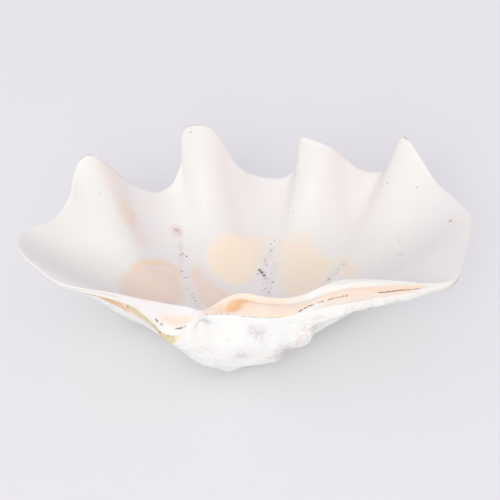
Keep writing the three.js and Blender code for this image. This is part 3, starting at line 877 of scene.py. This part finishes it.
# Colour laid over the inner layer: attribute, colour, strength, where it starts and is full,
# how far its edge wanders and that wander's grain in mm
INNER_COLOURS = (
    # painted lilac shade in the folds and troughs
    ("shade", "#F0E6EB", 0.45, 46, 2, 12, 30),
    ("stain", "#F4DBCA", 0.75, -6, 6, 6.0, 10),
    ("pale_stain", "#FBEAD4", 0.8, -12, 10, 12.0, 14),
    ("stain", "#FAE6D4", 0.5, 5, 14, 6.0, 12),
    ("crackle", "#F8DFC0", 0.6, 0.2, 0.9, 0.3, 4),
    ("craze", "#F6EDE8", 0.6, 0.45, 0.75, 0.7, 2.4),
    ("warm", "#F0D6C6", 0.28, 13, 1, 5.0, 12),
    # painted shade on the second and third ridges' right sides
    ("flank", "#ECDBD5", 0.26, 12, 0, 5.0, 14),
    ("blush", "#F4CDAE", 0.3, 0.1, 0.9, 0.3, 8),
    ("halo", "#F1EAED", 0.5, 0.1, 0.9, 0.3, 7),
    ("scar", "#FEEFD9", 0.95, 0.05, 0.95, 0.04, 5),
    ("furrow", "#E4DADC", 0.4, 5.0, 0.0, 4.0, 4),
    ("bed", "#F2ECEE", 0.5, -3, 3, 4.0, 5),
    ("graze", "#DDB9AE", 0.45, 0.1, 0.9, 0.5, 3),
    ("slope", "#F6E1CC", 0.85, 0.1, 0.9, 0.1, 8),
    ("amber", "#F6E0CC", 0.95, 0.1, 0.9, 0.15, 6),
    ("stripe", "#E6BF9A", 0.6, 0.3, 1.0, 0.3, 2.5),
    ("honey", "#E8B684", 0.9, 0.1, 0.9, 0.1, 4),
    ("bright", "#F3F0EA", 0.9, 0.2, 0.8, 0.1, 5),
    ("hairline", "#CFC6C6", 0.6, 0.4, 0.9, 0.3, 4),
    ("seam", "#B99674", 0.65, 0.3, 0.8, 0.4, 8),
    ("worn", "#B08A72", 0.55, 0.3, 0.8, 0.5, 4),
    # the ligament's line, partly dark remains and partly painted shadow under the plate's edge,
    # and the lip's bruises and the fourth tongue's dark tip
    ("groove", "#7A4526", 0.9, 0.45, 0.8, 0.45, 3.0),
)

# Fine relief of the two layers, as grain and height in mm, and strength
INNER_GRAIN = ((1.6, 0.3, 0.15), (14, 1.0, 0.25))
OUTER_GRAIN = ((1.8, 0.5, 0.5), (8, 2.2, 0.7))

# The dirt, and the colours of single specks and scratches
DIRT, BROWN_SPECK, RED_SPECK = "#4A2E2A", "#5A3A34", "#8A5A50"
GREY_SPECK, PALE_SPECK, SCRATCH = "#A8948C", "#B8A49C", "#DED2D2"

# Single spots in the bowl, as x and y in mm, radius and colour, and then the scratches
BOWL_SPOTS = (
    (183, 25, 2.2, "#C99B72"), (12, 29, 2.2, DIRT), (14, 26, 2.4, DIRT), (16, 22, 2.2, DIRT),
    (23, 60, 0.9, RED_SPECK), (26, 63, 0.8, RED_SPECK), (10, 24, 1.0, DIRT),
    (-56, 42, 1.2, BROWN_SPECK), (-60, 44, 1.0, BROWN_SPECK), (131, 86, 0.8, GREY_SPECK),
    (157, 72, 0.7, GREY_SPECK), (44, 80, 0.7, PALE_SPECK), (-133, 50, 0.6, GREY_SPECK),
    *((lerp(a, c, t / SCRATCH_STEPS), lerp(b, d, t / SCRATCH_STEPS), 0.9, SCRATCH)
      for (a, b), (c, d) in SCRATCHES for t in range(SCRATCH_STEPS + 1)),
)

# Specks on the second tongue's tip, as x and z, because its face stands almost upright
TIP_SPOTS = ((-52, 117, 0.9, BROWN_SPECK), (-52, 120.5, 0.5, BROWN_SPECK))

# Colour laid over the outer layer, in the same order of values as on the inner layer
OUTER_COLOURS = (
    ("cloud", "#EBE7E4", 0.7, 0.0, 1.0, 0.5, 26),
    ("cloud", "#CFC4CD", 0.5, 0.48, 0.85, 0.8, 7),
    ("smudge", "#CFC6CC", 0.35, -8, 8, 10.0, 9),
    ("smudge", "#ADA4B1", 0.4, 0, 9, 18.0, 2.6),
    ("rust", "#D9B8AC", 0.5, 0, 8, 14.0, 2.5),
    ("film", "#F0DDC2", 0.85, -4, 5, 6.0, 6),
    ("film", "#DDB088", 0.6, 5, 12, 18.0, 2.6),
    ("moss", "#F1E9D0", 0.8, -2, 6, 7.0, 5),
    ("moss", "#D0C492", 0.6, 5, 11, 20.0, 2.6),
    ("lamina", "#B58A5E", 0.7, 0.4, 0.8, 0.4, 9),
)


def new_material(name, values):
    """A new material whose shader takes the given values, and that shader."""
    material = bpy.data.materials.new(name)
    material.use_nodes = True
    shader = material.node_tree.nodes["Principled BSDF"]
    for key, value in values.items():
        shader.inputs[key].default_value = value
    return material, shader


def porcelain_layer():
    """Inner shell layer: dense crystals laid down by the animal and worn smooth. It is white with
    a satin gloss, with lilac shade painted into the folds, and stained where the flesh held on."""
    material, shader = new_material(
        "porcelain_inner_layer", {"Roughness": 0.42, "IOR": 1.53, "Specular IOR Level": 0.35}
    )
    tree = material.node_tree
    base = stacked(tree, opaque("#F0F1EC"), INNER_COLOURS)
    base = specked(tree, base, DIRT, "furrow", reach=6.0, size=0.75, crowding=0.44)
    base = spotted(tree, base, [((x, y, 0), r, c) for x, y, r, c in BOWL_SPOTS], (1, 1, 0))
    base = spotted(tree, base, [((x, 0, z), r, c) for x, z, r, c in TIP_SPOTS], (1, 0, 1))
    base = specked(tree, base, "#7A3A34", "graze_specks", reach=7.5, size=0.7, crowding=0.36)
    tree.links.new(base, shader.inputs["Base Color"])
    relief(tree, shader, INNER_GRAIN)
    return material


def chalk_layer():
    """Outer shell layer: prisms of lime, etched and rubbed by sand. It is matt and chalky,
    with grey smudges, fine cracks, and a dried green and ochre film under the lip."""
    material, shader = new_material(
        "chalky_outer_layer", {"Roughness": 0.85, "IOR": 1.53, "Specular IOR Level": 0.2}
    )
    tree = material.node_tree
    base = stacked(tree, opaque("#F3F5F2"), OUTER_COLOURS)
    base = specked(tree, base, "#3A2A1C", "film_edge", reach=8.0, size=1.1, crowding=0.4)
    tree.links.new(base, shader.inputs["Base Color"])
    relief(tree, shader, OUTER_GRAIN)
    return material


LENGTH = {"subtype": "DISTANCE", "unit": "LENGTH"}
COLOUR = {"min": 0, "max": 1, "size": 3, "subtype": "COLOR"}


class ValveSizes(bpy.types.PropertyGroup):
    rim_thickness: FloatProperty(
        name="Rim thickness", description="Thickness of the thin rim between the tongues",
        default=2.5 * MM, min=MM, max=6 * MM, **LENGTH,
    )
    chip_depth: FloatProperty(
        name="Chip depth", description="How ragged the hinge plate's outer edge is",
        default=1.8 * MM, min=0, max=4 * MM, **LENGTH,
    )
    lump_height: FloatProperty(
        name="Lump height", description="Height of the worn lumps on the outer side",
        default=1.2 * MM, min=0, max=4 * MM, **LENGTH,
    )
    growth_step: FloatProperty(
        name="Growth step", description="Height of the growth steps on the outer side",
        default=0.9 * MM, min=0, max=4 * MM, **LENGTH,
    )


class StudioSettings(bpy.types.PropertyGroup):
    camera_elevation: FloatProperty(
        name="Camera elevation", description="Angle of the camera above the floor",
        default=math.radians(38), min=0, max=math.pi / 2, subtype="ANGLE", unit="ROTATION",
    )
    camera_distance: FloatProperty(
        name="Camera distance", description="From the camera to the middle of the shell",
        default=1.3, min=0.3, max=6, **LENGTH,
    )
    focal_length: FloatProperty(
        name="Focal length", description="The camera's focal length on a 36 mm sensor",
        default=105, min=20, max=300, subtype="DISTANCE_CAMERA",
    )
    floor_colour: FloatVectorProperty(
        name="Floor colour", description="Colour of the pale floor",
        default=linear("#F0F1F3"), **COLOUR,
    )
    sky_colour: FloatVectorProperty(
        name="Sky colour", description="Colour of the even light",
        default=linear("#FDF9FF"), **COLOUR,
    )
    key_colour: FloatVectorProperty(
        name="Key colour", description="Colour of the soft light in front",
        default=linear("#FFFEF4"), **COLOUR,
    )
    sky_light: FloatProperty(
        name="Sky light", description="Strength of the even light from all round",
        default=0.8, min=0, max=5,
    )
    key_light: FloatProperty(
        name="Key light", description="Power of the soft light at the front left, in watts",
        default=114, min=0, max=1000,
    )


class CLAM_OT_grow_valve(bpy.types.Operator):
    """Grow the left valve as one closed skin and finish it inside and out"""

    bl_idname = "clam.grow_valve"
    bl_label = "Grow the valve"

    def execute(self, context):
        skin, fields = valve_skin(context.scene.clam_sizes)
        mesh = grown_mesh("clam_valve", onto_frame(skin), fields)
        mesh.materials.append(porcelain_layer())
        mesh.materials.append(chalk_layer())
        valve = bpy.data.objects.new("clam_valve", mesh)
        context.collection.objects.link(valve)
        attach(valve, "root")
        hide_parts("valve")
        return {"FINISHED"}


class CLAM_OT_set_stage(bpy.types.Operator):
    """Set the shell on a pale floor under soft studio light, with a camera"""

    bl_idname = "clam.set_stage"
    bl_label = "Set the stage"

    def execute(self, context):
        studio = context.scene.clam_studio
        if "clam_valve" not in bpy.data.objects:
            raise RuntimeError("The valve is grown before the stage is set")
        bm = bmesh.new()
        bmesh.ops.create_grid(bm, x_segments=1, y_segments=1, size=FLOOR_HALF)
        mesh = bpy.data.meshes.new("studio_floor")
        bm.to_mesh(mesh)
        bm.free()
        floor = bpy.data.objects.new("studio_floor", mesh)
        context.collection.objects.link(floor)
        material, _ = new_material(
            "painted_floor", {"Base Color": (*studio.floor_colour, 1), "Roughness": 0.9}
        )
        mesh.materials.append(material)

        world = bpy.data.worlds.new("studio_sky")
        world.use_nodes = True
        sky = world.node_tree.nodes["Background"]
        sky.inputs["Color"].default_value = (*studio.sky_colour, 1)
        sky.inputs["Strength"].default_value = studio.sky_light
        context.scene.world = world

        light = bpy.data.lights.new("key_light", "AREA")
        light.size = KEY_SIZE
        light.energy = studio.key_light
        light.color = studio.key_colour
        lamp = bpy.data.objects.new("key_light", light)
        lamp.location = KEY_PLACE
        lamp.rotation_euler = (KEY_AIM - KEY_PLACE).to_track_quat("-Z", "Y").to_euler()
        context.collection.objects.link(lamp)

        elevation = studio.camera_elevation
        back = Vector((0, -math.cos(elevation), math.sin(elevation)))
        camera = bpy.data.objects.new("camera", bpy.data.cameras.new("camera"))
        camera.data.lens = studio.focal_length
        camera.location = CAMERA_AIM + back * studio.camera_distance
        camera.rotation_euler = (-back).to_track_quat("-Z", "Y").to_euler()
        context.collection.objects.link(camera)
        context.scene.camera = camera
        context.scene.view_settings.view_transform = "Standard"
        return {"FINISHED"}


class CLAM_PT_panel(bpy.types.Panel):
    """The shell's sizes, the stage's settings and the two steps"""

    bl_idname = "CLAM_PT_panel"
    bl_label = "Giant clam shell"
    bl_space_type = "VIEW_3D"
    bl_region_type = "UI"
    bl_category = "Clam shell"

    def draw(self, context):
        for settings, step in (
            (context.scene.clam_sizes, "clam.grow_valve"),
            (context.scene.clam_studio, "clam.set_stage"),
        ):
            for name in settings.__annotations__:
                self.layout.prop(settings, name)
            self.layout.operator(step)


CLASSES = (ValveSizes, StudioSettings, CLAM_OT_grow_valve, CLAM_OT_set_stage, CLAM_PT_panel)


def register():
    for cls in CLASSES:
        bpy.utils.register_class(cls)
    bpy.types.Scene.clam_sizes = PointerProperty(type=ValveSizes)
    bpy.types.Scene.clam_studio = PointerProperty(type=StudioSettings)


def unregister():
    del bpy.types.Scene.clam_studio
    del bpy.types.Scene.clam_sizes
    for cls in reversed(CLASSES):
        bpy.utils.unregister_class(cls)


def main():
    register()
    bpy.ops.clam.grow_valve()
    bpy.ops.clam.set_stage()


if __name__ == "__main__":
    main()
